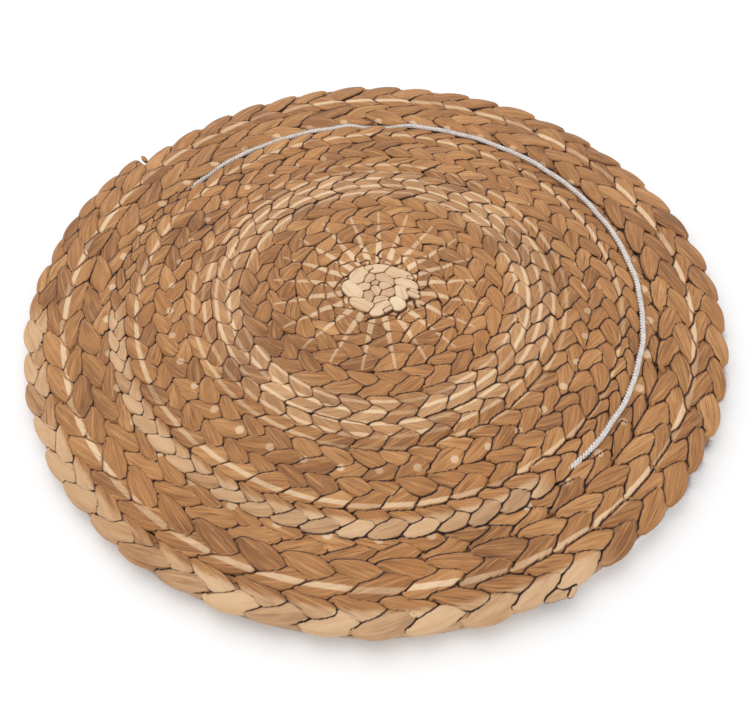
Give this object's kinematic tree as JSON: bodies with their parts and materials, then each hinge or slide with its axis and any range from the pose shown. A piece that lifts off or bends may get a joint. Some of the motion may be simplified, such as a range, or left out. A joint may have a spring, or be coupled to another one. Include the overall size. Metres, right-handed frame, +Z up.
{
  "type": "round woven seat pad",
  "caption": "Flat round seat pad of coiled three-strand water hyacinth braid, with a pale centre, a white cord between field and border, and a sewn felt backing.",
  "frame": {"origin": "middle of the pad, on the underside of the felt backing, where the pad lies on a seat", "axes": "+Z up through the pad, away from the seat; +X to the right and +Y away from a person who looks at the pad from the side that the pad is seen from; the coils wind outwards clockwise from above"},
  "size_m": [0.3997, 0.3991, 0.0139],
  "materials": {
    "bleached_braid": "bleached dried plant leaf, matte",
    "field_braid": "dried water hyacinth leaf, braided, matte to satin, with cream painted rays, rings and dots",
    "border_braid": "dried water hyacinth leaf, braided, matte to satin, with a cream painted ring and dots",
    "cotton_cord": "twisted cotton cord, fuzzy",
    "felt": "needled felt with a hairy edge",
    "thread": "waxed sewing thread"
  },
  "bodies": {
    "root": {"start_knot": "bleached_braid", "start_ring": "bleached_braid", "field_turn_1": "field_braid", "field_turn_2": "field_braid", "field_turn_3": "field_braid", "field_turn_4": "field_braid", "field_turn_5": "field_braid", "field_turn_6": "field_braid", "field_turn_7": "field_braid", "field_turn_8": "field_braid", "field_turn_9": "field_braid", "white_cord": "cotton_cord", "cord_lacing": "thread", "border_turn_1": "border_braid", "border_turn_2": "border_braid", "border_turn_3": "border_braid", "field_seam_stitches": "thread", "border_seam_stitches": "thread", "felt_backing": "felt", "felt_rim_stitches": "thread", "felt_ring_stitches": "thread"}
  },
  "joints": []
}
